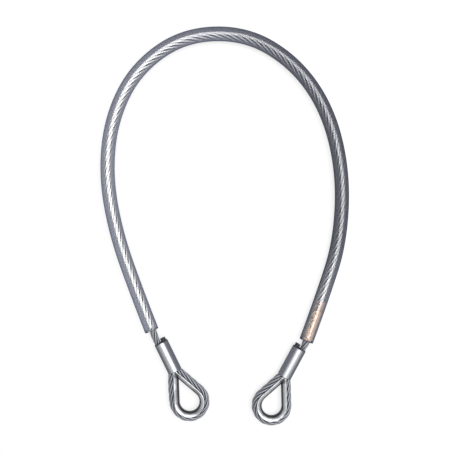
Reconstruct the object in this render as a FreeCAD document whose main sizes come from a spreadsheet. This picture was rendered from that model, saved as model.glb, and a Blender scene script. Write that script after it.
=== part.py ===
import FreeCAD, Part
import Sketcher
import math
import os

# Wire rope sling: one steel rope in a loose clear sleeve, with a thimble eye and a pressed ferrule at
# each end. It lies flat: X to the right, Y from the eyes to the top of the loop, Z up, base at Z = 0.
# Lengths are in millimetres and angles in degrees.

SIZES = {
    # The laid loop: how wide and how high the sleeve's route is
    "loop_width": 255,
    "loop_height": 330.5,
    # Rope, and how much thinner it is where a ferrule presses it
    "rope_diameter": 7.5,
    "rope_squeeze": 1.3,
    "dead_end_length": 3.5,
    # Sleeve: radial room round the rope, and wall
    "sleeve_play": 2.25,
    "sleeve_wall": 1.5,
    # Ferrule: metal outside the two pressed ropes, between them, and its rounded end edges
    "ferrule_length": 34.5,
    "ferrule_wall": 0.9,
    "ferrule_web": 0.8,
    "ferrule_edge": 0.7,
    "press_gap": 0.05,
    # Thimble: a channel bent round a teardrop opening, with its two ends at the ferrule
    "opening_width": 21.2,
    "thimble_wall": 2.8,
    "thimble_rim": 1.5,
    "thimble_depth": 4.8,
    "thimble_split": 0.5,
    "seat_gap": 0.4,
    # Each eye: its ferrule's mouth from the sleeve's end, the way the ferrule points, how far the eye
    # turns from that way, and the angle between the eye's axis and its straight sides
    "left_mouth_x": 9.8,
    "left_mouth_y": -12.6,
    "left_heading": -64,
    "left_eye_turn": 0,
    "left_side_angle": 23.5,
    "right_mouth_x": -7.3,
    "right_mouth_y": -7.9,
    "right_heading": -118.5,
    "right_eye_turn": 5,
    "right_side_angle": 25,
    # Rope's first run out of each ferrule, and how far inside the sleeve its second run ends
    "left_neck_run": 7.5,
    "left_neck_reach": 8,
    "right_neck_run": 9,
    "right_neck_reach": 16.4,
    # Label: a curved paper strip against the sleeve's wall
    "label_length": 44,
    "label_thickness": 0.3,
    "label_arc": 114,
    "label_tilt": 17,
    "label_gap": 0.25,
    "label_inset": 1.5,
}

# The way round the loop, left end to right end: the corners of the sleeve's centreline, which the loop's
# width and height stretch
SLEEVE_ROUTE = [
    (-79, -112),
    (-94, -74),
    (-117.5, -8),
    (-128.5, 56),
    (-122, 117),
    (-95.5, 169.5),
    (-44.5, 205.5),
    (21.5, 207.5),
    (74.5, 176),
    (110, 125.5),
    (126.5, 58),
    (123.5, -15.5),
    (105, -74),
    (87, -123),
]

# Where the rope lies in the bore, in shares of its play: towards the inside of the loop, and down. The
# first and last places are in the necks, and the others are at the sleeve's corners.
ROPE_PLACES = [
    (0.84, 0.05),
    (0.53, 0.27),
    (0.58, 0.49),
    (-0.27, 0.71),
    (0.13, 0.67),
    (0.44, 0.58),
    (0.67, 0.4),
    (0.67, 0.4),
    (0.44, 0.58),
    (0, 0.71),
    (-0.53, 0.49),
    (-0.22, 0.67),
    (0.22, 0.44),
    (0.22, 0.1),
]

# The runs at whose middle the loop is parted: its top, and the inner end of each neck
SLEEVE_TOP_RUN = 6
ROPE_TOP_RUN = 8
LEFT_NECK_RUN = 2
RIGHT_NECK_RUN = 14

# Share of the shorter run that an arc takes up at a corner of a route
ARC_SHARE = 0.45
# Length past a surface of what trims it
PAST = 60
# Overlap that joins a pressed leg to the loop outside the ferrule
JOIN = 1.5
UP = FreeCAD.Vector(0, 0, 1)
ALONG = FreeCAD.Vector(1, 0, 0)

# Sizes that follow from others, as formulas on the sheet
ROPE_RADIUS = "Sizes.rope_diameter / 2"
PRESSED_RADIUS = "(Sizes.rope_diameter - Sizes.rope_squeeze) / 2"
LEG_OFFSET = f"({PRESSED_RADIUS} + Sizes.ferrule_web / 2)"
FERRULE_RADIUS = f"({LEG_OFFSET} + {PRESSED_RADIUS} + Sizes.ferrule_wall)"
BORE_RADIUS = f"({ROPE_RADIUS} + Sizes.sleeve_play)"
SLEEVE_RADIUS = f"({BORE_RADIUS} + Sizes.sleeve_wall)"
GROOVE_RADIUS = f"({ROPE_RADIUS} + Sizes.seat_gap)"
LOOP_RADIUS = f"(Sizes.opening_width / 2 + Sizes.thimble_wall + {GROOVE_RADIUS})"

doc = FreeCAD.newDocument("rope_sling")
sizes = doc.addObject("Spreadsheet::Sheet", "Sizes")
for row, (name, number) in enumerate(SIZES.items(), start=1):
    sizes.set(f"A{row}", name)
    sizes.set(f"B{row}", str(number))
    sizes.setAlias(f"B{row}", name)
doc.recompute()


def value(formula):
    """The number that a formula on the sheet gives."""
    return float(sizes.evalExpression(formula))


def vector(*numbers):
    return FreeCAD.Vector(*numbers)


def turned(angle, at=FreeCAD.Vector()):
    """A placement turned about the vertical."""
    return FreeCAD.Placement(at, FreeCAD.Rotation(UP, angle))


def bind(piece, **formulas):
    """Ties a piece's properties to formulas on the sheet."""
    for name, formula in formulas.items():
        piece.setExpression(name, formula)
    return piece


def corner(before, at, after):
    """The two ends, middle and radius of the arc that rounds one corner of a route."""
    way_in = at - before
    way_out = after - at
    reach = ARC_SHARE * min(way_in.Length, way_out.Length)
    way_in.normalize()
    way_out.normalize()
    half = way_in.getAngle(way_out) / 2
    radius = reach / math.tan(half)
    inward = (way_out - way_in).normalize()
    middle = at + inward * (radius / math.cos(half) - radius)
    return at - way_in * reach, middle, at + way_out * reach, radius


def route_path(label, points, first_run=None, last_run=None):
    """A route's straight runs and arcs, from the middle of one run to the middle of another."""
    begin = points[0]
    first_corner = 1
    if first_run is not None:
        begin = (points[first_run] + points[first_run + 1]) / 2
        first_corner = first_run + 1
    finish = points[-1]
    last_corner = len(points) - 2
    if last_run is not None:
        finish = (points[last_run] + points[last_run + 1]) / 2
        last_corner = last_run
    edges = []
    radii = []
    for index in range(first_corner, last_corner + 1):
        start, middle, end, radius = corner(points[index - 1], points[index], points[index + 1])
        edges.append(Part.LineSegment(begin, start).toShape())
        edges.append(Part.Arc(start, middle, end).toShape())
        radii.append(round(radius))
        begin = end
    edges.append(Part.LineSegment(begin, finish).toShape())
    path = doc.addObject("Part::Feature", label)
    path.Shape = Part.Wire(edges)
    print(f"{label}: {path.Shape.Length:.1f} mm long, radii {radii}")
    return path


def tube(label, path, radius):
    """A round solid along a path."""
    first = path.Shape.Edges[0]
    section = doc.addObject("Part::Circle", f"{label}_section")
    bind(section, Radius=radius)
    section.Placement = FreeCAD.Placement(
        first.Vertexes[0].Point, FreeCAD.Rotation(UP, first.tangentAt(first.FirstParameter))
    )
    swept = doc.addObject("Part::Sweep", label)
    swept.Sections = [section]
    swept.Spine = (path, [f"Edge{i + 1}" for i in range(len(path.Shape.Edges))])
    swept.Solid = True
    doc.recompute()
    expected = math.pi * value(radius) ** 2 * path.Shape.Length
    print(f"{label}: volume {swept.Shape.Volume:.0f} mm3, section times length {expected:.0f} mm3")
    return swept


def hollow_tube(label, path, outer_radius, inner_radius):
    """A hose along a path."""
    hose = doc.addObject("Part::Cut", label)
    hose.Base = tube(f"{label}_outside", path, outer_radius)
    hose.Tool = tube(f"{label}_bore", path, inner_radius)
    return hose


def trim_box(label, corner_at, length, width, height):
    box = doc.addObject("Part::Box", label)
    box.Length = length
    box.Width = width
    box.Height = height
    box.Placement.Base = corner_at
    return box


def both(label, base, tool):
    """What two pieces share."""
    common = doc.addObject("Part::Common", label)
    common.Base = base
    common.Tool = tool
    return common


class Eye:
    """One end of the sling. Its own X runs from the ferrule's mouth to the eye, from the eye-side face."""

    def __init__(self, side, live_side, sleeve_end):
        self.side = side
        self.live_side = live_side
        self.heading = value(f"Sizes.{side}_heading")
        self.turn = value(f"Sizes.{side}_eye_turn")
        self.angle = value(f"Sizes.{side}_side_angle")
        self.length = value("Sizes.ferrule_length")
        slope = f"Sizes.{side}_side_angle"
        self.centre = value(f"{LOOP_RADIUS} / sin({slope}) - {LEG_OFFSET} / tan({slope})")
        mouth = sleeve_end + vector(value(f"Sizes.{side}_mouth_x"), value(f"Sizes.{side}_mouth_y"), 0)
        mouth.z = value(FERRULE_RADIUS)
        self.mouth = turned(self.heading, mouth)
        self.place = self.mouth * turned(0, vector(self.length, 0, 0))
        self.round_angle = f"180 + 2 * {slope}"

    def name(self, piece):
        return f"{self.side}_{piece}"

    def live_rope(self, outside=0.0):
        """The middle of the live rope at the mouth, or some way outside it."""
        offset = self.live_side * value(LEG_OFFSET)
        return self.mouth.multVec(vector(-outside, offset, 0))

    def ferrule(self):
        """A pressed round ferrule with the live and the dead rope side by side."""
        body = doc.addObject("PartDesign::Body", self.name("ferrule"))
        floor = next(f for f in body.Origin.OriginFeatures if f.Role == "XY_Plane")
        outline = body.newObject("Sketcher::SketchObject", self.name("ferrule_outline"))
        outline.AttachmentSupport = [(floor, "")]
        outline.MapMode = "FlatFace"
        outline.addGeometry(Part.Circle(vector(0, 0, 0), UP, value(FERRULE_RADIUS)))
        outline.addConstraint(Sketcher.Constraint("Coincident", 0, 3, -1, 1))
        outline.addConstraint(Sketcher.Constraint("Radius", 0, value(FERRULE_RADIUS)))
        outline.setExpression("Constraints[1]", FERRULE_RADIUS)
        blank = body.newObject("PartDesign::Pad", self.name("ferrule_blank"))
        blank.Profile = outline
        bind(blank, Length="Sizes.ferrule_length")
        holes = body.newObject("Sketcher::SketchObject", self.name("ferrule_holes"))
        holes.AttachmentSupport = [(floor, "")]
        holes.MapMode = "FlatFace"
        for index, sign in enumerate((1, -1)):
            middle = vector(sign * value(LEG_OFFSET), 0, 0)
            holes.addGeometry(Part.Circle(middle, UP, value(f"{PRESSED_RADIUS} + Sizes.press_gap")))
            holes.addConstraint(Sketcher.Constraint("PointOnObject", index, 3, -1))
            radius = Sketcher.Constraint("Radius", index, value(f"{PRESSED_RADIUS} + Sizes.press_gap"))
            number = holes.addConstraint(radius)
            holes.setExpression(f"Constraints[{number}]", f"{PRESSED_RADIUS} + Sizes.press_gap")
            # The distance is measured from left to right, so it is never negative
            ends = (-1, 1, index, 3) if sign > 0 else (index, 3, -1, 1)
            number = holes.addConstraint(Sketcher.Constraint("DistanceX", *ends, value(LEG_OFFSET)))
            holes.setExpression(f"Constraints[{number}]", LEG_OFFSET)
        doc.recompute()
        bores = body.newObject("PartDesign::Pocket", self.name("ferrule_bores"))
        bores.Profile = holes
        bores.Type = 1
        bores.Reversed = True
        doc.recompute()
        rims = [
            f"Edge{i + 1}"
            for i, edge in enumerate(bores.Shape.Edges)
            if hasattr(edge.Curve, "Radius") and edge.Curve.Radius > value(PRESSED_RADIUS) * 1.5
            and edge.Closed
        ]
        rounding = body.newObject("PartDesign::Fillet", self.name("ferrule_edges"))
        rounding.Base = (bores, rims)
        bind(rounding, Radius="Sizes.ferrule_edge")
        body.Tip = rounding
        axis = self.mouth.Rotation.multVec(ALONG)
        across = self.mouth.Rotation.multVec(vector(0, 1, 0))
        body.Placement = FreeCAD.Placement(self.mouth.Base, FreeCAD.Rotation(across, UP, axis, "ZXY"))
        return body

    def turned_place(self, x, y, angle=0.0):
        """A place in the eye, which turns a little from the ferrule's axis."""
        return turned(self.turn) * turned(angle, vector(x, y, 0))

    def rope(self):
        """The rope from the mouth round the thimble and back to its dead end."""
        radius = value(LOOP_RADIUS)
        slope = math.radians(self.angle)
        bend = doc.addObject("Part::Torus", self.name("rope_bend"))
        bind(bend, Radius1=LOOP_RADIUS, Radius2=ROPE_RADIUS, Angle3=self.round_angle)
        bend.Placement = self.turned_place(self.centre, 0, -90 - self.angle)
        pieces = [bend]
        for word, sign in (("plus", 1), ("minus", -1)):
            side = doc.addObject("Part::Cylinder", self.name(f"rope_side_{word}"))
            bind(side, Radius=ROPE_RADIUS, Height=f"{LOOP_RADIUS} / tan(Sizes.{self.side}_side_angle)")
            start = self.turned_place(
                self.centre - radius * math.sin(slope),
                sign * radius * math.cos(slope),
                180 + sign * self.angle,
            )
            side.Placement = start * FreeCAD.Placement(vector(0, 0, 0), FreeCAD.Rotation(UP, ALONG))
            pieces.append(side)
        whole = doc.addObject("Part::MultiFuse", self.name("rope_loop_whole"))
        whole.Shapes = pieces
        reach = self.centre + PAST
        keep = trim_box(self.name("rope_keep"), vector(0, -PAST, -PAST), reach, 2 * PAST, 2 * PAST)
        legs = []
        for word, sign, extra in (
            ("live", self.live_side, "0"),
            ("dead", -self.live_side, "Sizes.dead_end_length"),
        ):
            leg = doc.addObject("Part::Cylinder", self.name(f"rope_{word}_leg"))
            bind(leg, Radius=PRESSED_RADIUS, Height=f"Sizes.ferrule_length + {extra} + {JOIN}")
            leg.Placement = FreeCAD.Placement(
                vector(JOIN, sign * value(LEG_OFFSET), 0), FreeCAD.Rotation(UP, -ALONG)
            )
            legs.append(leg)
        rope = doc.addObject("Part::MultiFuse", self.name("eye_rope"))
        rope.Shapes = [both(self.name("rope_loop"), whole, keep), *legs]
        rope.Refine = True
        rope.Placement = self.place
        return rope

    def channel_section(self):
        """The thimble's section where a straight side meets its round end."""
        outer = value("Sizes.opening_width") / 2
        depth = value("Sizes.thimble_depth")
        wall = value("Sizes.thimble_wall")
        groove = value(GROOVE_RADIUS)
        half_width = groove + value("Sizes.thimble_rim")
        lip = math.sqrt(groove**2 - (wall + groove - depth) ** 2)

        def point(distance, height):
            return vector(outer + distance, 0, height)

        middle = (half_width + lip) / 2
        edge = depth + (half_width - lip) / 2
        arcs = [
            Part.Arc(point(depth, -half_width), point(0, 0), point(depth, half_width)),
            Part.Arc(point(depth, half_width), point(edge, middle), point(depth, lip)),
            Part.Arc(point(depth, lip), point(wall, 0), point(depth, -lip)),
            Part.Arc(point(depth, -lip), point(edge, -middle), point(depth, -half_width)),
        ]
        section = doc.addObject("Part::Feature", self.name("thimble_section"))
        section.Shape = Part.Face(Part.Wire([arc.toShape() for arc in arcs]))
        section.Placement = turned(-90 - self.angle, vector(self.centre, 0, 0))
        return section

    def thimble(self):
        """A channel bent round a teardrop, cut to two ends that meet on its axis by the ferrule."""
        section = self.channel_section()
        slope = math.radians(self.angle)
        bend = doc.addObject("Part::Revolution", self.name("thimble_bend"))
        bend.Source = section
        bend.Axis = UP
        bend.Base = vector(self.centre, 0, 0)
        bend.Solid = True
        bind(bend, Angle=self.round_angle)
        side = doc.addObject("Part::Extrusion", self.name("thimble_side"))
        side.Base = section
        side.DirMode = "Custom"
        side.Dir = vector(-math.cos(slope), math.sin(slope), 0)
        side.LengthFwd = self.centre / math.cos(slope)
        side.Solid = True
        half_split = value("Sizes.thimble_split") / 2
        keep = trim_box(
            self.name("thimble_keep"), vector(-PAST, -PAST - half_split, -PAST),
            self.centre + 2 * PAST, PAST, 2 * PAST,
        )
        lower = both(self.name("thimble_lower"), side, keep)
        upper = doc.addObject("Part::Mirroring", self.name("thimble_upper"))
        upper.Source = lower
        upper.Normal = vector(0, 1, 0)
        whole = doc.addObject("Part::MultiFuse", self.name("thimble_whole"))
        whole.Shapes = [bend, lower, upper]
        whole.Refine = True
        whole.Placement = turned(self.turn)
        ends = trim_box(
            self.name("thimble_ends"), vector(value("Sizes.seat_gap"), -PAST, -PAST),
            self.centre + PAST, 2 * PAST, 2 * PAST,
        )
        thimble = both(self.name("thimble"), whole, ends)
        thimble.Placement = self.place
        return thimble


def label_strip(path_points):
    """A paper strip that lies curved against the top of the sleeve's wall, inside its right mouth."""
    mouth = path_points[-1]
    inward = (path_points[-2] - mouth).normalize()
    outer = value(f"{BORE_RADIUS} - Sizes.label_gap")
    inner = outer - value("Sizes.label_thickness")
    middle = value("Sizes.label_tilt")
    half = value("Sizes.label_arc") / 2

    def point(radius, angle):
        """Angles are from the top of the sleeve, towards the outside of the loop."""
        turn = math.radians(angle)
        return vector(radius * math.sin(turn), 0, radius * math.cos(turn))

    low = middle - half
    high = middle + half
    edges = [
        Part.Arc(point(outer, low), point(outer, middle), point(outer, high)).toShape(),
        Part.LineSegment(point(outer, high), point(inner, high)).toShape(),
        Part.Arc(point(inner, high), point(inner, middle), point(inner, low)).toShape(),
        Part.LineSegment(point(inner, low), point(outer, low)).toShape(),
    ]
    section = doc.addObject("Part::Feature", "label_section")
    section.Shape = Part.Face(Part.Wire(edges))
    section.Placement = FreeCAD.Placement(
        mouth + inward * value("Sizes.label_inset"), FreeCAD.Rotation(inward.cross(UP), inward, UP, "ZXY")
    )
    strip = doc.addObject("Part::Extrusion", "paper_label")
    strip.Base = section
    strip.DirMode = "Custom"
    strip.Dir = inward
    strip.Solid = True
    bind(strip, LengthFwd="Sizes.label_length")
    return strip


def sleeve_points():
    """The corners of the sleeve's centreline, at the loop's width and height."""
    across, along = zip(*SLEEVE_ROUTE)
    wider = value("Sizes.loop_width") / (max(across) - min(across))
    higher = value("Sizes.loop_height") / (max(along) - min(along))
    return [vector(x * wider, y * higher, value(SLEEVE_RADIUS)) for x, y in SLEEVE_ROUTE]


def beside(point, way, place):
    """A point of the sleeve's centreline moved to the rope's place in the bore there."""
    inside, down = place
    play = value("Sizes.sleeve_play")
    return point + way.cross(UP).normalize() * (inside * play) - UP * (down * play)


def rope_points(left, right, hose):
    """The rope's route from the left ferrule's mouth to the right one's."""
    ways = [(after - before).normalize() for before, after in zip(hose, hose[1:])]
    left_neck = hose[0] + ways[0] * value("Sizes.left_neck_reach")
    right_neck = hose[-1] - ways[-1] * value("Sizes.right_neck_reach")
    corners = [
        beside(point, way_in + way_out, place)
        for point, way_in, way_out, place in zip(hose[1:-1], ways, ways[1:], ROPE_PLACES[1:-1])
    ]
    return [
        left.live_rope(),
        left.live_rope(value("Sizes.left_neck_run")),
        beside(left_neck, ways[0], ROPE_PLACES[0]),
        *corners,
        beside(right_neck, ways[-1], ROPE_PLACES[-1]),
        right.live_rope(value("Sizes.right_neck_run")),
        right.live_rope(),
    ]


def build():
    hose = sleeve_points()
    left = Eye("left", -1, hose[0])
    right = Eye("right", 1, hose[-1])
    rope = rope_points(left, right, hose)
    pieces = [
        hollow_tube(
            "left_clear_sleeve", route_path("left_sleeve_path", hose, None, SLEEVE_TOP_RUN),
            SLEEVE_RADIUS, BORE_RADIUS,
        ),
        hollow_tube(
            "right_clear_sleeve", route_path("right_sleeve_path", hose, SLEEVE_TOP_RUN, None),
            SLEEVE_RADIUS, BORE_RADIUS,
        ),
    ]
    for label, first, last in (
        ("left_neck_rope", None, LEFT_NECK_RUN),
        ("left_wire_rope", LEFT_NECK_RUN, ROPE_TOP_RUN),
        ("right_wire_rope", ROPE_TOP_RUN, RIGHT_NECK_RUN),
        ("right_neck_rope", RIGHT_NECK_RUN, None),
    ):
        pieces.append(tube(label, route_path(f"{label}_path", rope, first, last), ROPE_RADIUS))
    for eye in (left, right):
        pieces += [eye.ferrule(), eye.rope(), eye.thimble()]
    pieces.append(label_strip(hose))
    doc.recompute()
    return pieces


def check_and_write(pieces):
    for item in doc.Objects:
        if "Invalid" in item.State or "Error" in item.State:
            raise RuntimeError(f"{item.Label} did not compute: {item.State}")
    os.makedirs("parts", exist_ok=True)
    for piece in pieces:
        shape = piece.Shape
        if shape.isNull() or not shape.isValid() or len(shape.Solids) != 1:
            raise RuntimeError(f"{piece.Label} is not one valid solid")
        shape.exportStep(os.path.join("parts", f"{piece.Label}.step"))
        box = shape.BoundBox
        print(f"{piece.Label}: {box.XLength:.1f} x {box.YLength:.1f} x {box.ZLength:.1f} mm")


check_and_write(build())
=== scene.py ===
"""Looks of a wire rope sling in a clear sleeve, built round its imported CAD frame."""

import math

import bpy
import numpy as np
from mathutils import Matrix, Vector


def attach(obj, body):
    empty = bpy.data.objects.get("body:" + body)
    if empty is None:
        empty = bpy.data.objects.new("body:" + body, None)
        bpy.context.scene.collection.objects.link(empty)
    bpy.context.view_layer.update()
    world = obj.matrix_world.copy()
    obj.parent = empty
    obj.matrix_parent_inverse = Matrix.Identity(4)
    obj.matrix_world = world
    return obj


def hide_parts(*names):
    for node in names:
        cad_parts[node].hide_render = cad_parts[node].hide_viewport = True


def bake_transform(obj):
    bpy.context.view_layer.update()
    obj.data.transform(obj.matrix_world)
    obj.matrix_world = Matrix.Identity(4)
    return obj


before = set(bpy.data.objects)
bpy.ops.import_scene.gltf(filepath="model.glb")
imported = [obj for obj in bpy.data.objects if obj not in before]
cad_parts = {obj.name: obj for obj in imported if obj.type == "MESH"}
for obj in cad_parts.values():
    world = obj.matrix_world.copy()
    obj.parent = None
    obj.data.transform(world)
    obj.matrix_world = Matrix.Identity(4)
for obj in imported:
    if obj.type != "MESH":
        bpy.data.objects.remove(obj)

bl_info = {
    "name": "Wire rope sling",
    "version": (1, 0, 0),
    "blender": (4, 5, 0),
    "location": "3D View > Sidebar > Sling",
    "description": "Builds a wire rope sling with a clear sleeve and two thimble eyes",
    "category": "Add Mesh",
}

# The routes repeat the control points of the part's source, in metres
SLEEVE_ROUTE = [
    (-0.0790, -0.1120, 0.0075),
    (-0.0940, -0.0740, 0.0075),
    (-0.1175, -0.0080, 0.0075),
    (-0.1285, 0.0560, 0.0075),
    (-0.1220, 0.1170, 0.0075),
    (-0.0955, 0.1695, 0.0075),
    (-0.0445, 0.2055, 0.0075),
    (0.0215, 0.2075, 0.0075),
    (0.0745, 0.1760, 0.0075),
    (0.1100, 0.1255, 0.0075),
    (0.1265, 0.0580, 0.0075),
    (0.1235, -0.0155, 0.0075),
    (0.1050, -0.0740, 0.0075),
    (0.0870, -0.1230, 0.0075),
]
LEFT_NECK_ROUTE = [
    (-0.07235, -0.12613, 0.00750),
    (-0.07563, -0.11939, 0.00750),
    (-0.08018, -0.10386, 0.00739),
    (-0.08653, -0.08872, 0.00714),
]
ROPE_ROUTE = [
    (-0.08653, -0.08872, 0.00714),
    (-0.09288, -0.07358, 0.00689),
    (-0.11624, -0.00767, 0.00640),
    (-0.12911, 0.05598, 0.00590),
    (-0.12172, 0.11692, 0.00599),
    (-0.09475, 0.16885, 0.00620),
    (-0.04402, 0.20407, 0.00660),
    (0.02112, 0.20604, 0.00660),
    (0.07383, 0.17527, 0.00620),
    (0.11000, 0.12550, 0.00590),
    (0.12769, 0.05812, 0.00640),
    (0.12399, -0.01559, 0.00599),
    (0.10453, -0.07384, 0.00651),
    (0.09836, -0.09064, 0.00690),
]
RIGHT_NECK_ROUTE = [
    (0.09836, -0.09064, 0.00690),
    (0.09219, -0.10744, 0.00728),
    (0.08707, -0.12466, 0.00750),
    (0.08278, -0.13257, 0.00750),
]
# Each eye's rope runs from the mouth, round the thimble and back to its cut end
LEFT_EYE_ROUTE = [
    (-0.07235, -0.12613, 0.0075),
    (-0.06051, -0.15041, 0.0075),
    (-0.05742, -0.15714, 0.0075),
    (-0.05787, -0.16513, 0.0075),
    (-0.05717, -0.18136, 0.0075),
    (-0.05552, -0.19603, 0.0075),
    (-0.04463, -0.20588, 0.0075),
    (-0.02997, -0.20503, 0.0075),
    (-0.02028, -0.19400, 0.0075),
    (-0.02133, -0.17935, 0.0075),
    (-0.03249, -0.16982, 0.0075),
    (-0.04485, -0.15927, 0.0075),
    (-0.05093, -0.15407, 0.0075),
    (-0.05422, -0.14734, 0.0075),
    (-0.06759, -0.11992, 0.0075),
]
RIGHT_EYE_ROUTE = [
    (0.08278, -0.13257, 0.0075),
    (0.06989, -0.15630, 0.0075),
    (0.06631, -0.16289, 0.0075),
    (0.06665, -0.17064, 0.0075),
    (0.06702, -0.18462, 0.0075),
    (0.06741, -0.19941, 0.0075),
    (0.05697, -0.21003, 0.0075),
    (0.04207, -0.20990, 0.0075),
    (0.03181, -0.19910, 0.0075),
    (0.03246, -0.18421, 0.0075),
    (0.04363, -0.17434, 0.0075),
    (0.05401, -0.16515, 0.0075),
    (0.06016, -0.15955, 0.0075),
    (0.06374, -0.15296, 0.0075),
    (0.07829, -0.12615, 0.0075),
]
# Seen from above: each ferrule's mouth, the way from it to the eye, and the thimble's crotch
EYES = {
    "left": {
        "mouth": (-0.0692, -0.1246, 0.0),
        "axis": (0.43837, -0.89879, 0.0),
        "crotch": (-0.0524, -0.1591, 0.0),
    },
    "right": {
        "mouth": (0.0797, -0.1309, 0.0),
        "axis": (-0.47716, -0.87882, 0.0),
        "crotch": (0.0610, -0.1655, 0.0),
    },
}

# Where the rope swells to its full size, measured from the end of its pressed length
SWELL_START = -0.002
SWELL_END = 0.005
# How much of a neck is pressed at its ferrule, and the value for a length that isn't there
NECK_PRESSED = 0.002
NOT_THERE = -1.0
# Shares of the rope's diameter: where a strand's middle lies, its radius, and the core's
STRAND_PLACE = 0.34
STRAND_RADIUS = 0.16
CORE_RADIUS = 0.2
# Points round a strand, of which each wire has a crest, a flank, a groove and a flank
STRAND_POINTS = 24
POINTS_PER_WIRE = 4
CORE_POINTS = 8
# Shares of a strand's radius: where its flanks lie, and how far crests rise and grooves drop
FLANK_REACH = 0.996
CREST_RISE = 0.004
GROOVE_DROP = 0.012
# Lengths of one step along the rope and the sleeve
ROPE_STEP = 0.0015
SLEEVE_STEP = 0.004
SLEEVE_SIDES = 64
# The label's gap from the sleeve's end, its points, and how close two of them are made one
LABEL_GAP = 0.0015
LABEL_COLUMNS = 13
LABEL_ROWS = 56
LABEL_WELD = 0.00002

FLOOR_REACH = 3.0
SOFTBOX_PLACE = (0.3, 0.12, 1.5)
SOFTBOX_SIZE = 1.25
SOFTBOX_POWER = 27
CAMERA_PLACE = (0.00075, 0.0002, 0.6075)
CAMERA_LENS = 44.5
SENSOR_WIDTH = 36

# The Mix node's sockets for its factor and two colours, and its output for them
MIX_FACTOR = 0
MIX_FIRST = 6
MIX_SECOND = 7
MIX_RESULT = 2


def colour(values, share=1.0):
    """A colour for a socket, brighter or darker by a share."""
    return (*(min(1.0, value * share) for value in values), 1.0)


WHITE = colour((1.0, 1.0, 1.0))
BLACK = colour((0.0, 0.0, 0.0))
# Painted shade between the rope's strands
STRAND_GAP_SHADE = colour((0.07, 0.071, 0.08))
# Painted shade between the strands on the sleeve's right limb
RIGHT_SHADE_GAP = colour((0.006, 0.006, 0.008))
# Painted shade between the bare rope's strands, lighter than in the sleeve
BARE_GAP_SHADE = colour((0.15, 0.154, 0.173))
CUT_WIRE = colour((0.05, 0.05, 0.054))
# Painted shade inside the thimbles' eyes
EYE_INSIDE_SHADE = colour((0.06, 0.062, 0.07))
# Painted shade on the ferrules' sides and at their mouths
FERRULE_SIDE_SHADE = colour((0.165, 0.174, 0.2))
FERRULE_MOUTH_SHADE = colour((0.03, 0.03, 0.034))
# Painted shade at the sleeve's cut ends
SLEEVE_RIM_SHADE = colour((0.02, 0.022, 0.03))
# Painted shade on the label's outer side
LABEL_SIDE_SHADE = colour((0.36, 0.30, 0.27))
LABEL_TOP = colour((0.36, 0.28, 0.25))
LABEL_MARK = colour((0.09, 0.06, 0.05))
LABEL_LINE = colour((0.13, 0.10, 0.085))
FLOOR_GREY = colour((0.3, 0.3, 0.3))


class Sizes(bpy.types.PropertyGroup):
    """Sizes that the pieces are built to."""

    sleeve_diameter: bpy.props.FloatProperty(
        name="Sleeve Diameter", description="Outside diameter of the clear sleeve",
        default=0.015, unit="LENGTH",
    )
    sleeve_wall: bpy.props.FloatProperty(
        name="Sleeve Wall", description="Wall thickness of the clear sleeve",
        default=0.0015, unit="LENGTH",
    )
    rope_diameter: bpy.props.FloatProperty(
        name="Rope Diameter", description="Diameter over the rope's strands",
        default=0.0075, unit="LENGTH",
    )
    pressed_diameter: bpy.props.FloatProperty(
        name="Pressed Diameter", description="Diameter of the rope inside a ferrule",
        default=0.0062, unit="LENGTH",
    )
    ferrule_length: bpy.props.FloatProperty(
        name="Ferrule Length", description="Length of rope held by a ferrule",
        default=0.0345, unit="LENGTH",
    )
    dead_end_length: bpy.props.FloatProperty(
        name="Dead End", description="How far the cut end stands out of the ferrule's mouth",
        default=0.0035, unit="LENGTH",
    )
    strands: bpy.props.IntProperty(
        name="Strands", description="Strands laid round the core", default=6,
    )
    lay_length: bpy.props.FloatProperty(
        name="Lay Length", description="Length of rope for one turn of a strand",
        default=0.054, unit="LENGTH",
    )
    wire_lay: bpy.props.FloatProperty(
        name="Wire Lay", description="Length of strand for one turn of a wire",
        default=0.024, unit="LENGTH",
    )
    label_length: bpy.props.FloatProperty(
        name="Label Length", description="Length of the paper label along the sleeve",
        default=0.044, unit="LENGTH",
    )
    label_radius: bpy.props.FloatProperty(
        name="Label Radius", description="Radius that the label is curled to, at its inner face",
        default=0.00545, unit="LENGTH",
    )
    label_thickness: bpy.props.FloatProperty(
        name="Label Thickness", description="Thickness of the label's paper",
        default=0.0003, unit="LENGTH",
    )


class Colours(bpy.types.PropertyGroup):
    """Colours of the finishes and of their painted light and shade, in scene linear values."""

    # Brightened inside the sleeve, as painted light
    steel: bpy.props.FloatVectorProperty(
        name="Steel", description="Galvanised steel of the rope's wires, bright inside the sleeve",
        subtype="COLOR", size=3, default=(0.49, 0.50, 0.52), min=0, max=1,
    )
    # The bare rope's wires: a darker copy of the steel, as painted shade
    handled_and_shaded: bpy.props.FloatVectorProperty(
        name="Handled Steel", description="The same wires where the rope is bare, dulled by handling",
        subtype="COLOR", size=3, default=(0.235, 0.243, 0.27), min=0, max=1,
    )
    zinc: bpy.props.FloatVectorProperty(
        name="Zinc", description="Zinc plate of the thimbles",
        subtype="COLOR", size=3, default=(0.43, 0.435, 0.452), min=0, max=1,
    )
    aluminium: bpy.props.FloatVectorProperty(
        name="Aluminium", description="Pressed aluminium of the ferrules",
        subtype="COLOR", size=3, default=(0.38, 0.385, 0.405), min=0, max=1,
    )
    # Partly the plastic's own tint, partly a painted reflection of the dark surroundings seen through
    # the clear wall
    sleeve: bpy.props.FloatVectorProperty(
        name="Sleeve", description="Tint of the clear sleeve, on the loop's left",
        subtype="COLOR", size=3, default=(0.155, 0.18, 0.265), min=0, max=1,
    )
    # The tint where the painted shade is strongest, on the loop's right
    shade_tint: bpy.props.FloatVectorProperty(
        name="Smoke", description="The same tint where it is deepest, on the loop's right",
        subtype="COLOR", size=3, default=(0.013, 0.021, 0.05), min=0, max=1,
    )
    label: bpy.props.FloatVectorProperty(
        name="Label", description="Peach paper of the label",
        subtype="COLOR", size=3, default=(0.70, 0.44, 0.29), min=0, max=1,
    )


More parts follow.
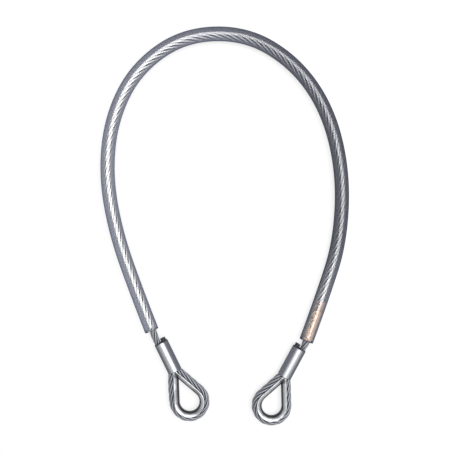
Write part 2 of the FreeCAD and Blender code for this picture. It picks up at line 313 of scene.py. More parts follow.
class Socket:
    """One output of a node tree, for use in Python expressions on values."""

    def __init__(self, tree, output):
        self.tree = tree
        self.output = output

    def beside(self, name):
        """Another output of the same node."""
        return Socket(self.tree, self.output.node.outputs[name])

    def math(self, operation, *others):
        """A Math node that takes this value first."""
        sockets = dict(enumerate((self, *others)))
        return self.tree.add("ShaderNodeMath", {"operation": operation}, sockets)

    def vector(self, operation, *others):
        """A Vector Math node that takes this vector first."""
        output = "Value" if operation in ("DOT_PRODUCT", "DISTANCE") else "Vector"
        sockets = dict(enumerate((self, *others)))
        if operation == "SCALE":
            sockets = {0: self, "Scale": others[0]}
        return self.tree.add("ShaderNodeVectorMath", {"operation": operation}, sockets, output)

    def __add__(self, other):
        return self.math("ADD", other)

    def __sub__(self, other):
        return self.math("SUBTRACT", other)

    def __mul__(self, other):
        return self.math("MULTIPLY", other)

    def __truediv__(self, other):
        return self.math("DIVIDE", other)

    def __rsub__(self, other):
        return self.tree.add("ShaderNodeMath", {"operation": "SUBTRACT"}, {0: other, 1: self})

    def __rtruediv__(self, other):
        return self.tree.add("ShaderNodeMath", {"operation": "DIVIDE"}, {0: other, 1: self})

    __radd__ = __add__
    __rmul__ = __mul__


class Tree:
    """Adds nodes to a shader or geometry tree."""

    def __init__(self, nodes):
        self.nodes = nodes

    def add(self, kind, settings=None, sockets=None, output=0):
        """One node: its settings are set first, then its sockets are given values or links."""
        node = self.nodes.nodes.new(kind)
        for name, setting in (settings or {}).items():
            setattr(node, name, setting)
        for name, given in (sockets or {}).items():
            socket = node.inputs[name]
            if isinstance(given, Socket):
                self.nodes.links.new(given.output, socket)
            else:
                socket.default_value = given
        return Socket(self, node.outputs[output]) if len(node.outputs) else None

    def smooth(self, given, low, high, to_low=0.0, to_high=1.0):
        """A smooth step from to_low to to_high, while the given value goes from low to high."""
        return self.add("ShaderNodeMapRange", {"interpolation_type": "SMOOTHSTEP"}, {
            "Value": given, "From Min": low, "From Max": high, "To Min": to_low, "To Max": to_high,
        })

    def component(self, vector, letter):
        """A vector's X, Y or Z."""
        return self.add("ShaderNodeSeparateXYZ", None, {0: vector}, letter)

    def mix(self, factor, first, second):
        """A mix of two colours."""
        return self.add("ShaderNodeMix", {"data_type": "RGBA"}, {
            MIX_FACTOR: factor, MIX_FIRST: first, MIX_SECOND: second,
        }, MIX_RESULT)

    def noise(self, place, scale, detail):
        """Noise of a scale, with levels of finer detail."""
        return self.add("ShaderNodeTexNoise", None, {
            "Vector": place, "Scale": scale, "Detail": detail,
        })

    def place(self):
        """The object's own coordinates."""
        return self.add("ShaderNodeTexCoord", None, None, "Object")

    def normal(self):
        """The way that the surface faces."""
        return self.add("ShaderNodeNewGeometry", None, None, "Normal")

    def upright(self):
        """1 where the surface faces straight up or down, and 0 where it faces sideways."""
        return self.component(self.normal(), "Z").math("ABSOLUTE")

    def front(self):
        """1 where a face is seen from its front, and 0 from its back."""
        return 1 - self.add("ShaderNodeNewGeometry", None, None, "Backfacing")

    def painted(self, name):
        """A value that a piece's points carry, in its material."""
        return self.add("ShaderNodeAttribute", {"attribute_name": name}, None, "Fac")

    def store(self, geometry, name, given, kind="FLOAT"):
        """Keeps a value on each point, under a name."""
        return self.add(
            "GeometryNodeStoreNamedAttribute", {"data_type": kind, "domain": "POINT"},
            {"Geometry": geometry, "Name": name, "Value": given},
        )

    def kept(self, name, kind="FLOAT"):
        """A value that was kept on each point."""
        return self.add("GeometryNodeInputNamedAttribute", {"data_type": kind}, {"Name": name})

    def join(self, *meshes):
        """All the meshes as one."""
        node = self.nodes.nodes.new("GeometryNodeJoinGeometry")
        for mesh in meshes:
            self.nodes.links.new(mesh.output, node.inputs[0])
        return Socket(self, node.outputs[0])

    def across(self, tangent):
        """The level direction across a line, and the one that is square to both."""
        side = self.add(
            "ShaderNodeVectorMath", {"operation": "CROSS_PRODUCT"}, {0: (0, 0, 1), 1: tangent}
        ).vector("NORMALIZE")
        return side, tangent.vector("CROSS_PRODUCT", side)


def material_tree(name):
    """A new material and the Tree of its nodes."""
    material = bpy.data.materials.new(name)
    material.use_nodes = True
    material.node_tree.nodes.clear()
    return material, Tree(material.node_tree)


def finish_material(tree, shader):
    """Puts a shader on the material's surface."""
    tree.add("ShaderNodeOutputMaterial", None, {"Surface": shader})


def finish_principled(tree, sockets):
    """Puts one Principled shader on the material's surface."""
    finish_material(tree, tree.add("ShaderNodeBsdfPrincipled", None, sockets))


def reach_past(place, point, axis):
    """How far past a point a place lies, along an axis."""
    return place.vector("SUBTRACT", point).vector("DOT_PRODUCT", axis)


def right_shade_masks(tree):
    """How strong the painted shade is, 0 on the left limb to 1 on the right, and how low down a place
    is.
    """
    place = tree.place()
    rightward_shade = tree.smooth(tree.component(place, "X"), -0.12, 0.09)
    low = tree.smooth(tree.component(place, "Y"), 0.0, -0.12)
    return rightward_shade, low


def right_limb_shade(tree):
    """How far painted shade darkens the sleeve and what is in it: on the right limb, but hardly low
    down.
    """
    rightward_shade, low = right_shade_masks(tree)
    return rightward_shade * (1 - low * 0.95)


def steel_material(name, colours, eye=None):
    """Galvanised wire: dark at the cut, with painted shade between the strands, in the wires' grooves
    and on the sleeve's right limb.

    Inside the sleeve the wire is a brightened copy, as painted light. Where an eye is given,
    the wire from its ferrule's mouth on is rougher from handling and a darker copy, as painted shade.
    """
    material, tree = material_tree(name)
    place = tree.place()
    spangle = tree.noise(place, 500.0, 3.0)
    shade_here = right_limb_shade(tree)
    # The wire in the sleeve: a brightened copy, as painted light
    lit_copy = tree.mix(spangle, colour(colours.steel, 0.9), colour(colours.steel, 1.1))
    # Painted shade: the wires go darker on the sleeve's right limb, and their gaps darker still
    wires = tree.mix(shade_here * 0.45, lit_copy, BLACK)
    # Painted shade between the strands, darker still on the sleeve's right limb
    gaps = tree.mix(shade_here, STRAND_GAP_SHADE, RIGHT_SHADE_GAP)
    gap_height = 0.86
    roughness = spangle * 0.08 + 0.42
    if eye:
        # From the ferrule's mouth on: a darker copy, as painted shade, with lighter gaps, and rougher
        # from handling
        handled_and_shaded = tree.smooth(reach_past(place, eye["mouth"], eye["axis"]), -0.03, -0.01)
        shaded_copy = tree.mix(spangle, colour(colours.handled_and_shaded, 0.85), colour(colours.handled_and_shaded, 1.15))
        wires = tree.mix(handled_and_shaded, wires, shaded_copy)
        gaps = tree.mix(handled_and_shaded, gaps, BARE_GAP_SHADE)
        gap_height = gap_height - handled_and_shaded * 0.1
        roughness = roughness + handled_and_shaded * 0.1
    # Painted shade in the grooves between the wires
    wires = tree.mix(tree.painted("groove") * 0.1 + 0.9, BLACK, wires)
    # Only the strands' tops keep the wire's colour; their sides and the gaps between them take the
    # painted shade
    crown = tree.smooth(tree.painted("height"), gap_height, 0.99)
    cut = tree.painted("cut")
    finish_principled(tree, {
        "Base Color": tree.mix(cut * 0.85, tree.mix(crown, gaps, wires), CUT_WIRE),
        "Metallic": 1.0,
        "Roughness": roughness + cut * 0.2,
    })
    return material


def thimble_material(name, colours, eye):
    """Zinc plate with a faint grain and worn patches, with painted shade inside the eye, where it
    faces sideways, and in its crotch.
    """
    material, tree = material_tree(name)
    place = tree.place()
    grain = tree.noise(place, 260.0, 4.0)
    # Painted shade: the zinc keeps its colour only where it faces up or down
    flange = tree.smooth(tree.upright() + (grain - 0.5) * 0.12, 0.55, 0.92)
    bright = tree.mix(grain, colour(colours.zinc, 0.85), colour(colours.zinc, 1.2))
    worn = tree.smooth(tree.noise(place, 110.0, 2.0), 0.48, 0.62, to_high=0.75)
    plate = tree.mix(worn, bright, colour(colours.zinc, 0.55))
    plan = place.vector("MULTIPLY", (1, 1, 0))
    # Painted shade in the thimble's crotch, fading out within about 4 mm of it
    open_part = tree.smooth(plan.vector("DISTANCE", eye["crotch"]), 0.002, 0.0042)
    finish_principled(tree, {
        "Base Color": tree.mix(flange * (open_part * 0.8 + 0.2), EYE_INSIDE_SHADE, plate),
        "Metallic": 1.0,
        "Roughness": grain * 0.2 + 0.3,
    })
    return material


def ferrule_material(name, colours, eye):
    """Pressed aluminium, with painted shade on its sides and at its mouth: its own colour only where
    it faces up or down.
    """
    material, tree = material_tree(name)
    place = tree.place()
    grain = tree.noise(place, 420.0, 4.0)
    depth = reach_past(place, eye["mouth"], eye["axis"])
    # Painted shade at the mouth end
    past_mouth = tree.smooth(depth, 0.0004, 0.0014, to_low=0.45)
    # Painted shade on the sides: the aluminium keeps its colour only where it faces up or down
    lit_face = tree.smooth(tree.upright() + (grain - 0.5) * 0.06, 0.8, 0.98)
    pressed = tree.mix(lit_face, FERRULE_SIDE_SHADE, colour(colours.aluminium))
    finish_principled(tree, {
        "Base Color": tree.mix(past_mouth, FERRULE_MOUTH_SHADE, pressed),
        "Metallic": 1.0,
        "Specular Tint": (0.3, 0.3, 0.32, 1.0),
        "Roughness": grain * 0.12 + 0.34,
    })
    return material


def cut_rims(tree):
    """Painted shade: 1 at the sleeve's two cut ends, fading over the last 2 mm of the sleeve."""
    place = tree.place()
    rims = []
    for end, inner in (SLEEVE_ROUTE[:2], SLEEVE_ROUTE[:-3:-1]):
        axis = (Vector(end) - Vector(inner)).normalized()
        near = place.vector("DISTANCE", end).math("LESS_THAN", 0.012)
        rims.append(near * tree.smooth(reach_past(place, end, axis), -0.0022, -0.0006))
    return rims[0] + rims[1]


def tint_and_shade(tree, colours, outwards):
    """The plastic's tint, with painted shade: darker down the right limb, and on the loop's outer
    side at its top.

    Painted shade makes it darkest at the sleeve's cut ends. outwards is 1 where the surface faces
    away from the sleeve's middle line, and -1 in the bore.
    """
    rightward_shade, low = right_shade_masks(tree)
    # Painted shade by the way the surface faces: darker where it faces +Y, as on the loop's outer
    # side at its top, lighter where it faces -Y
    north = tree.component(tree.normal(), "Y") * outwards
    side_shade = north * (1 - rightward_shade) * 0.8 + north.math("MINIMUM", 0.0) * rightward_shade * 0.5
    depth = rightward_shade * (1 - low * 0.25) + side_shade
    # The tint: partly the plastic's own and partly a painted reflection of the dark surroundings,
    # going over to painted shade down the right limb
    tint = tree.mix(depth, colour(colours.sleeve), colour(colours.shade_tint))
    # Painted shade at the sleeve's cut ends
    return tree.mix(cut_rims(tree) * 0.8, tint, SLEEVE_RIM_SHADE)


def clear_plastic(colours):
    """The sleeve's outside: clear where it is met squarely, tinted at its edges, softly shining, and
    darker and less clear down the right limb, as painted shade.
    """
    material, tree = material_tree("clear_plastic")
    facing = tree.add("ShaderNodeLayerWeight", None, {"Blend": 0.5}, "Facing")
    edge = tree.smooth(facing, 0.15, 0.5)
    front = tree.front()
    shade_here = right_limb_shade(tree)
    # Painted shade: the sleeve is less clear down the right limb
    clear = shade_here * 0.3 + 0.12
    body = tree.add("ShaderNodeBsdfPrincipled", None, {
        "Base Color": tint_and_shade(tree, colours, 1),
        "Roughness": 0.35,
        "Specular IOR Level": 0.0,
        "Alpha": (clear + (0.94 - clear) * edge) * front,
    })
    shine = tree.add("ShaderNodeBsdfPrincipled", None, {
        "Base Color": WHITE,
        "Metallic": 1.0,
        "Roughness": 0.17,
    })
    # With the painted shade, the sleeve shines less down the right limb
    finish_material(tree, tree.add("ShaderNodeMixShader", None, {
        0: (0.11 - shade_here * 0.05) * (1 - edge * 0.95) * front, 1: body, 2: shine,
    }))
    return material


def sleeve_bore(colours):
    """The sleeve's inside: to the camera its far wall is a nearly opaque tinted sheet behind the
    rope, as painted shade, and it lets the light in.
    """
    material, tree = material_tree("sleeve_bore")
    # Painted shade: the far wall is nearly opaque to the camera's rays only
    seen = tree.add("ShaderNodeLightPath", None, None, "Is Camera Ray")
    finish_principled(tree, {
        "Base Color": tint_and_shade(tree, colours, -1),
        "Roughness": 0.3,
        "IOR": 1.4,
        "Alpha": (seen * 0.8 + 0.1) * tree.front(),
    })
    return material


def label_material(colours):
    """Matt peach paper with a duller upper part, a dark line across it, worn dark marks, and painted
    shade on its outer side.
    """
    material, tree = material_tree("peach_paper")
    along = tree.painted("label_along")
    across = tree.painted("label_across")
    fibre = tree.noise(tree.place(), 1500.0, 3.0)
    sheet = tree.add("ShaderNodeCombineXYZ", None, {"X": across * 8.0, "Y": along * 34.0})
    marks = tree.smooth(tree.noise(sheet, 0.5, 2.0), 0.48, 0.56)
    marked_side = tree.smooth(across, 0.5, 0.2, to_low=0.3)
    outer = tree.smooth(across, 0.5, 0.75)
    upper = tree.smooth(along, 0.74, 0.8)
    line = along.math("COMPARE", 0.77, 0.022)
    paper = tree.mix(fibre, colour(colours.label, 0.92), colour(colours.label, 1.08))
    # Painted shade where the label curls down the sleeve's outer side
    paper = tree.mix(outer * 0.7, paper, LABEL_SIDE_SHADE)
    paper = tree.mix(upper * 0.65, paper, LABEL_TOP)
    paper = tree.mix(marks * marked_side * 0.9, paper, LABEL_MARK)
    finish_principled(tree, {
        "Base Color": tree.mix(line * 0.65, paper, LABEL_LINE),
        "Roughness": 0.75,
    })
    return material


def route_curve(name, points):
    """The smooth line of a route, with the route's points as its control points."""
    curve = bpy.data.curves.new(name, "CURVE")
    curve.dimensions = "3D"
    curve.resolution_u = 24
    spline = curve.splines.new("NURBS")
    spline.points.add(len(points) - 1)
    for point, place in zip(spline.points, points):
        point.co = (*place, 1.0)
    spline.order_u = 3
    spline.use_endpoint_u = True
    line = bpy.data.objects.new(name, curve)
    bpy.context.scene.collection.objects.link(line)
    bpy.context.view_layer.update()
    return line


def line_points(line):
    """Points read from a route's spline, and how far along it each one is."""
    mesh = bpy.data.meshes.new_from_object(
        line.evaluated_get(bpy.context.evaluated_depsgraph_get())
    )
    points = np.array([v.co[:] for v in mesh.vertices])
    bpy.data.meshes.remove(mesh)
    along = np.concatenate([[0.0], np.cumsum(np.linalg.norm(np.diff(points, axis=0), axis=1))])
    return points, along


def geometry_tree(name, inputs):
    """A geometry tree with a geometry input and output and the named inputs."""
    group = bpy.data.node_groups.new(name, "GeometryNodeTree")
    group.interface.new_socket("Geometry", in_out="INPUT", socket_type="NodeSocketGeometry")
    for word, kind in inputs:
        group.interface.new_socket(word, in_out="INPUT", socket_type=f"NodeSocket{kind}")
    group.interface.new_socket("Geometry", in_out="OUTPUT", socket_type="NodeSocketGeometry")
    tree = Tree(group)
    entry = group.nodes.new("NodeGroupInput")
    words = ["Geometry", *(word for word, _ in inputs)]
    return group, tree, {word: Socket(tree, entry.outputs[word]) for word in words}


def finish_geometry(tree, geometry, material):
    """Ends a geometry tree with real, painted geometry."""
    real = tree.add("GeometryNodeRealizeInstances", None, {"Geometry": geometry})
    painted = tree.add("GeometryNodeSetMaterial", None, {"Geometry": real, "Material": material})
    tree.add("NodeGroupOutput", None, {"Geometry": painted})


def rope_tree():
    """Strands laid round a core along a line, each one a bundle of wires."""
    group, tree, given = geometry_tree("stranded_rope", [
        ("Rope Diameter", "Float"),
        ("Pressed Diameter", "Float"),
        ("Pressed Start", "Float"),
        ("Pressed End", "Float"),
        ("Dead End", "Float"),
        ("Strands", "Int"),
        ("Lay Length", "Float"),
        ("Wire Lay", "Float"),
        ("Start", "Float"),
        ("Step", "Float"),
        ("Material", "Material"),
    ])
    line = tree.add(
        "GeometryNodeResampleCurve", {"mode": "LENGTH"},
        {"Curve": given["Geometry"], "Length": given["Step"]},
    )
    along = tree.add("GeometryNodeSplineParameter", None, None, "Length")
    left = tree.add("GeometryNodeSplineLength") - along
    free = (
        tree.smooth(along - given["Pressed Start"], SWELL_START, SWELL_END)
        * tree.smooth(left - given["Pressed End"], SWELL_START, SWELL_END)
    )
    cut = left.math("LESS_THAN", given["Dead End"])
    swell = given["Rope Diameter"] - given["Pressed Diameter"]
    thickness = given["Pressed Diameter"] + swell * free
    line = tree.store(line, "along", along + given["Start"])
    line = tree.store(line, "thickness", thickness)
    line = tree.store(line, "cut", cut)
    line = tree.store(line, "middle", tree.add("GeometryNodeInputPosition"), "FLOAT_VECTOR")
    along = tree.kept("along")
    thickness = tree.kept("thickness")
    middle = tree.kept("middle", "FLOAT_VECTOR")
    copies = tree.add("GeometryNodeDuplicateElements", {"domain": "SPLINE"}, {
        "Geometry": line, "Amount": given["Strands"],
    })
    side, up = tree.across(tree.add("GeometryNodeInputTangent"))
    started = copies.beside("Duplicate Index") / given["Strands"]
    turn = (along / given["Lay Length"] + started) * math.tau
    offset = side.vector("SCALE", turn.math("COSINE")).vector(
        "ADD", up.vector("SCALE", turn.math("SINE"))
    )
    strands = tree.add("GeometryNodeSetPosition", None, {
        "Geometry": copies, "Offset": offset.vector("SCALE", thickness * STRAND_PLACE),
    })
    strands = tree.add("GeometryNodeSetCurveNormal", {"mode": "Z_UP"}, {"Curve": strands})
    strands = tree.add("GeometryNodeSetCurveTilt", None, {
        "Curve": strands, "Tilt": along / given["Wire Lay"] * -math.tau,
    })
    outline = tree.add("GeometryNodeCurvePrimitiveCircle", None, {
        "Resolution": STRAND_POINTS, "Radius": 1.0,
    })
    point = tree.add("GeometryNodeInputIndex").math("MODULO", POINTS_PER_WIRE)
    crest = point.math("COMPARE", 0.0, 0.1)
    groove = point.math("COMPARE", POINTS_PER_WIRE / 2, 0.1)
    reach = FLANK_REACH + crest * CREST_RISE - groove * GROOVE_DROP
    outline = tree.add("GeometryNodeSetPosition", None, {
        "Geometry": outline,
        "Position": tree.add("GeometryNodeInputPosition").vector("SCALE", reach),
    })
    # Kept for the wire's material, which paints shade in the grooves between the wires
    outline = tree.store(outline, "groove", 1.0 - groove)
    bundles = tree.add("GeometryNodeCurveToMesh", None, {
        "Curve": strands, "Profile Curve": outline, "Scale": thickness * STRAND_RADIUS,
        "Fill Caps": True,
    })
    from_middle = tree.add("GeometryNodeInputPosition").vector("DISTANCE", middle)
    # Kept for the wire's material, which paints shade between the strands by this height
    bundles = tree.store(bundles, "height", from_middle / thickness * 2.0)
    core = tree.add("GeometryNodeCurveToMesh", None, {
        "Curve": tree.add("GeometryNodeSetCurveNormal", {"mode": "Z_UP"}, {"Curve": line}),
        "Profile Curve": tree.add("GeometryNodeCurvePrimitiveCircle", None, {
            "Resolution": CORE_POINTS, "Radius": 1.0,
        }),
        "Scale": thickness * CORE_RADIUS, "Fill Caps": True,
    })
    smooth = tree.add("GeometryNodeSetShadeSmooth", None, {
        "Geometry": tree.join(core, bundles), "Shade Smooth": True,
    })
    finish_geometry(tree, smooth, given["Material"])
    return group


def sleeve_tree():
    """A tube's outside along a line."""
    group, tree, given = geometry_tree("sleeve_outside", [
        ("Diameter", "Float"), ("Sides", "Int"), ("Step", "Float"), ("Material", "Material"),
    ])
    line = tree.add(
        "GeometryNodeResampleCurve", {"mode": "LENGTH"},
        {"Curve": given["Geometry"], "Length": given["Step"]},
    )
    line = tree.add("GeometryNodeSetCurveNormal", {"mode": "Z_UP"}, {"Curve": line})
    outline = tree.add("GeometryNodeCurvePrimitiveCircle", None, {
        "Resolution": given["Sides"], "Radius": given["Diameter"] * 0.5,
    })
    tube = tree.add("GeometryNodeCurveToMesh", None, {
        "Curve": line, "Profile Curve": outline, "Fill Caps": False,
    })
    smooth = tree.add("GeometryNodeSetShadeSmooth", None, {"Geometry": tube, "Shade Smooth": True})
    finish_geometry(tree, smooth, given["Material"])
    return group


def label_tree():
    """A strip of paper curled inside the sleeve's bore, askew, measured from the end of a line."""
    group, tree, given = geometry_tree("curled_label", [
        ("Gap", "Float"), ("Length", "Float"), ("Radius", "Float"), ("Thickness", "Float"),
        ("Near Low", "Float"), ("Near High", "Float"), ("Far Low", "Float"), ("Far High", "Float"),
        ("Material", "Material"),
    ])
    grid = tree.add("GeometryNodeMeshGrid", None, {
        "Size X": 1.0, "Size Y": 1.0, "Vertices X": LABEL_COLUMNS, "Vertices Y": LABEL_ROWS,
    })
    point = tree.add("GeometryNodeInputPosition")
    grid = tree.store(grid, "label_across", tree.component(point, "X") + 0.5)
    grid = tree.store(grid, "label_along", tree.component(point, "Y") + 0.5)
    across = tree.kept("label_across")
    along = tree.kept("label_along")
    full = tree.add("GeometryNodeCurveLength", None, {"Curve": given["Geometry"]})
    place = tree.add("GeometryNodeSampleCurve", {"mode": "LENGTH"}, {
        "Curves": given["Geometry"], "Length": full - given["Gap"] - given["Length"] * along,
    }, "Position")
    side, up = tree.across(place.beside("Tangent"))
    low = given["Near Low"] + (given["Far Low"] - given["Near Low"]) * along
    high = given["Near High"] + (given["Far High"] - given["Near High"]) * along
    turn = low + (high - low) * across
    curl = side.vector("SCALE", turn.math("SINE")).vector(
        "ADD", up.vector("SCALE", turn.math("COSINE"))
    )
    sheet = tree.add("GeometryNodeSetPosition", None, {
        "Geometry": grid, "Position": place.vector("ADD", curl.vector("SCALE", given["Radius"])),
    })
    face = tree.add("GeometryNodeExtrudeMesh", {"mode": "FACES"}, {
        "Mesh": sheet, "Offset Scale": given["Thickness"], "Individual": False,
    })
    back = tree.add("GeometryNodeFlipFaces", None, {"Mesh": sheet})
    whole = tree.add("GeometryNodeMergeByDistance", None, {
        "Geometry": tree.join(face, back), "Distance": LABEL_WELD,
    })
    finish_geometry(tree, whole, given["Material"])
    return group


def made_along(name, line, group, values, materials):
    """A plain mesh from a geometry tree run on a route's line."""
    modifier = line.modifiers.new(name, "NODES")
    modifier.node_group = group
    for socket in group.interface.items_tree:
        if socket.in_out == "INPUT" and socket.name in values:
            modifier[socket.identifier] = values[socket.name]
    bpy.context.view_layer.update()
    mesh = bpy.data.meshes.new_from_object(
        line.evaluated_get(bpy.context.evaluated_depsgraph_get()), preserve_all_data_layers=True,
        depsgraph=bpy.context.evaluated_depsgraph_get(),
    )
    line.modifiers.remove(modifier)
    piece = bpy.data.objects.new(name, mesh)
    bpy.context.scene.collection.objects.link(piece)
    mesh.materials.clear()
    for material in materials:
        mesh.materials.append(material)
    return piece


def remove_line(line):
    """Removes a route's line once its piece is made."""
    curve = line.data
    bpy.data.objects.remove(line)
    bpy.data.curves.remove(curve)


def rope_piece(
    name, route, material, start=0.0, pressed=(NOT_THERE, NOT_THERE), dead_end=NOT_THERE
):
    """A stretch of stranded rope, the points of its line, and its length.

    start is the length of the rope before it, so that its strands go on from there.
    """
    sizes = bpy.context.scene.sling_sizes
    line = route_curve(name + "_line", route)
    points, along = line_points(line)
    piece = made_along(name, line, bpy.data.node_groups.get("stranded_rope") or rope_tree(), {
        "Rope Diameter": sizes.rope_diameter,
        "Pressed Diameter": sizes.pressed_diameter,
        "Pressed Start": pressed[0],
        "Pressed End": pressed[1],
        "Dead End": dead_end,
        "Strands": sizes.strands,
        "Lay Length": sizes.lay_length,
        "Wire Lay": sizes.wire_lay,
        "Start": start,
        "Step": ROPE_STEP,
        "Material": material,
    }, [material])
    remove_line(line)
    return piece, points, float(along[-1])


class SLING_OT_wire_rope(bpy.types.Operator):
    """Make the rope in the sleeve and its two bare necks."""

    bl_idname = "sling.wire_rope"
    bl_label = "Wire Rope"

    def execute(self, context):
        colours = context.scene.sling_colours
        steel = steel_material("galvanised_wire", colours)
        left_steel = steel_material("left_end_wire", colours, EYES["left"])
        right_steel = steel_material("right_end_wire", colours, EYES["right"])
        left, _, left_length = rope_piece(
            "left_neck_strands", LEFT_NECK_ROUTE, left_steel, pressed=(NECK_PRESSED, NOT_THERE)
        )
        middle, points, length = rope_piece("rope_strands", ROPE_ROUTE, steel, left_length)
        right, _, right_length = rope_piece(
            "right_neck_strands", RIGHT_NECK_ROUTE, right_steel, left_length + length,
            pressed=(NOT_THERE, NECK_PRESSED),
        )
        context.scene["rope_made"] = left_length + length + right_length
        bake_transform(left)
        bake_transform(right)
        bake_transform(middle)
        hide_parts("left_neck_rope")
        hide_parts("right_neck_rope")
        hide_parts("left_wire_rope", "right_wire_rope")
        return {"FINISHED"}


class SLING_OT_eye_ropes(bpy.types.Operator):
    """Make the rope round each thimble, with its cut end."""

    bl_idname = "sling.eye_ropes"
    bl_label = "Eye Ropes"

    def execute(self, context):
        sizes = context.scene.sling_sizes
        legs = (sizes.ferrule_length, sizes.ferrule_length + sizes.dead_end_length)
        left, _, _ = rope_piece(
            "left_eye_strands", LEFT_EYE_ROUTE, bpy.data.materials["left_end_wire"],
            pressed=legs, dead_end=sizes.dead_end_length,
        )
        right, _, _ = rope_piece(
            "right_eye_strands", RIGHT_EYE_ROUTE, bpy.data.materials["right_end_wire"],
            context.scene["rope_made"], pressed=legs, dead_end=sizes.dead_end_length,
        )
        for side, piece in (("left", left), ("right", right)):
            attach(piece, f"{side}_eye")
            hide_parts(f"{side}_eye_rope")
        return {"FINISHED"}


class SLING_OT_clear_sleeve(bpy.types.Operator):
    """Make the clear sleeve over the rope."""

    bl_idname = "sling.clear_sleeve"
    bl_label = "Clear Sleeve"

    def execute(self, context):
        sizes = context.scene.sling_sizes
        clear = clear_plastic(context.scene.sling_colours)
        bore = sleeve_bore(context.scene.sling_colours)
        line = route_curve("sleeve_line", SLEEVE_ROUTE)
        points, along = line_points(line)
        sleeve = made_along("clear_sleeve", line, sleeve_tree(), {
            "Diameter": sizes.sleeve_diameter,
            "Sides": SLEEVE_SIDES,
            "Step": SLEEVE_STEP,
            "Material": clear,
        }, [clear, bore])
        remove_line(line)
        # The wall grows inwards, and its inner face gets the second material
        wall = sleeve.modifiers.new("wall", "SOLIDIFY")
        wall.thickness = sizes.sleeve_wall
        wall.offset = -1
        wall.material_offset = 1
        mesh = bpy.data.meshes.new_from_object(
            sleeve.evaluated_get(bpy.context.evaluated_depsgraph_get())
        )
        sleeve.modifiers.clear()
        sleeve.data = mesh
        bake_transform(sleeve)
        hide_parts("left_clear_sleeve", "right_clear_sleeve")
        return {"FINISHED"}


class SLING_OT_label(bpy.types.Operator):
    """Make the paper label curled in the sleeve's right end."""

    bl_idname = "sling.label"
    bl_label = "Label"

    def execute(self, context):
        sizes = context.scene.sling_sizes
        paper = label_material(context.scene.sling_colours)
        line = route_curve("label_line", SLEEVE_ROUTE)
        label = made_along("label", line, label_tree(), {
            "Gap": LABEL_GAP,
            "Length": sizes.label_length,
            "Radius": sizes.label_radius,
            "Thickness": sizes.label_thickness,
            "Near Low": math.radians(-38),
            "Near High": math.radians(72),
            "Far Low": math.radians(-42),
            "Far High": math.radians(76),
            "Material": paper,
        }, [paper])
        remove_line(line)
        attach(label, "right_side")
        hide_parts("paper_label")
        return {"FINISHED"}


class SLING_OT_fittings(bpy.types.Operator):
    """Finish the thimbles and the ferrules."""

    bl_idname = "sling.fittings"
    bl_label = "Fittings"

    def execute(self, context):
        colours = context.scene.sling_colours
        for side, eye in EYES.items():
            finishes = {
                "thimble": thimble_material(f"{side}_zinc_plate", colours, eye),
                "ferrule": ferrule_material(f"{side}_pressed_aluminium", colours, eye),
            }
            for word, material in finishes.items():
                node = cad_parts[f"{side}_{word}"]
                node.data.materials.clear()
                node.data.materials.append(material)
        return {"FINISHED"}


def background_seen(tree):
    """1 for the rays that show the background: the camera's, and those in metal and in glass."""
    camera = tree.add("ShaderNodeLightPath", None, None, "Is Camera Ray")
    metal, glass = camera.beside("Is Glossy Ray"), camera.beside("Is Transmission Ray")
    return camera.math("MAXIMUM", metal).math("MAXIMUM", glass)


def lay_floor(scene):
    """A pale floor that shows white, with the object's shadow on it."""
    mesh = bpy.data.meshes.new("floor")
    corners = ((-1, -1), (1, -1), (1, 1), (-1, 1))
    mesh.from_pydata(
        [(x * FLOOR_REACH, y * FLOOR_REACH, 0) for x, y in corners], [], [(0, 1, 2, 3)]
    )
    floor = bpy.data.objects.new("floor", mesh)
    scene.collection.objects.link(floor)
    material, tree = material_tree("floor_paper")
    paper = tree.add("ShaderNodeBsdfDiffuse", None, {"Color": FLOOR_GREY})
    glow = tree.add("ShaderNodeEmission", None, {
        "Color": WHITE, "Strength": background_seen(tree) * 0.68,
    })
    finish_material(tree, tree.add("ShaderNodeAddShader", None, {0: paper, 1: glow}))
    mesh.materials.append(material)


def light_studio(scene):
    """A white room and one softbox, high on the loop's right."""
    world = bpy.data.worlds.new("studio")
    world.use_nodes = True
    world.node_tree.nodes.clear()
    tree = Tree(world.node_tree)
    room = tree.add("ShaderNodeBackground", None, {
        "Color": WHITE, "Strength": background_seen(tree) * 0.6 + 0.3,
    })
    tree.add("ShaderNodeOutputWorld", None, {"Surface": room})
    scene.world = world
    lamp = bpy.data.lights.new("softbox", "AREA")
    lamp.size = SOFTBOX_SIZE
    lamp.energy = SOFTBOX_POWER
    softbox = bpy.data.objects.new("softbox", lamp)
    softbox.location = SOFTBOX_PLACE
    softbox.rotation_euler = (-softbox.location).to_track_quat("-Z", "Y").to_euler()
    scene.collection.objects.link(softbox)


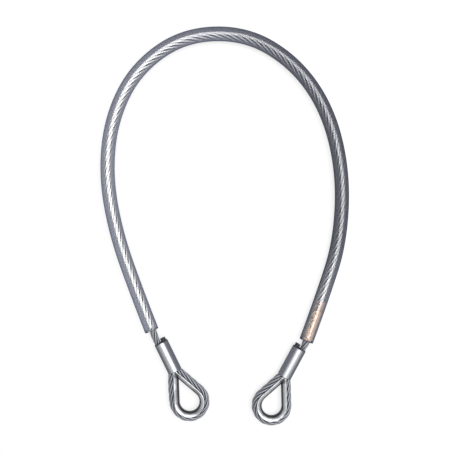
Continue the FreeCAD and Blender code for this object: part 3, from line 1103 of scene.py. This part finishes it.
def aim_camera(scene):
    """A camera that looks straight down on the loop."""
    camera = bpy.data.cameras.new("camera")
    camera.sensor_width = SENSOR_WIDTH
    camera.lens = CAMERA_LENS
    camera.clip_start = 0.01
    viewer = bpy.data.objects.new("camera", camera)
    viewer.location = CAMERA_PLACE
    scene.collection.objects.link(viewer)
    scene.camera = viewer


class SLING_OT_stage(bpy.types.Operator):
    """Set up the floor, the light and the camera."""

    bl_idname = "sling.stage"
    bl_label = "Stage"

    def execute(self, context):
        context.scene.view_settings.view_transform = "Standard"
        lay_floor(context.scene)
        light_studio(context.scene)
        aim_camera(context.scene)
        return {"FINISHED"}


class SLING_PT_panel(bpy.types.Panel):
    """The sling's pieces, in the order that they are made."""

    bl_label = "Wire Rope Sling"
    bl_space_type = "VIEW_3D"
    bl_region_type = "UI"
    bl_category = "Sling"

    def draw(self, context):
        for settings in (context.scene.sling_sizes, context.scene.sling_colours):
            for word in settings.bl_rna.properties.keys():
                if word not in ("rna_type", "name"):
                    self.layout.prop(settings, word)
        for operator in OPERATORS:
            self.layout.operator(operator.bl_idname)


OPERATORS = (
    SLING_OT_wire_rope,
    SLING_OT_eye_ropes,
    SLING_OT_clear_sleeve,
    SLING_OT_label,
    SLING_OT_fittings,
    SLING_OT_stage,
)
CLASSES = (Sizes, Colours, *OPERATORS, SLING_PT_panel)


def register():
    """Registers the classes, and gives each scene the sling's sizes and colours."""
    for made in CLASSES:
        bpy.utils.register_class(made)
    bpy.types.Scene.sling_sizes = bpy.props.PointerProperty(type=Sizes)
    bpy.types.Scene.sling_colours = bpy.props.PointerProperty(type=Colours)


def unregister():
    """Takes back what register did."""
    del bpy.types.Scene.sling_colours
    del bpy.types.Scene.sling_sizes
    for made in reversed(CLASSES):
        bpy.utils.unregister_class(made)


def main():
    """Makes every piece and the stage."""
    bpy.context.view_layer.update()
    register()
    bpy.ops.sling.wire_rope()
    bpy.ops.sling.eye_ropes()
    bpy.ops.sling.clear_sleeve()
    bpy.ops.sling.label()
    bpy.ops.sling.fittings()
    bpy.ops.sling.stage()


if __name__ == "__main__":
    main()
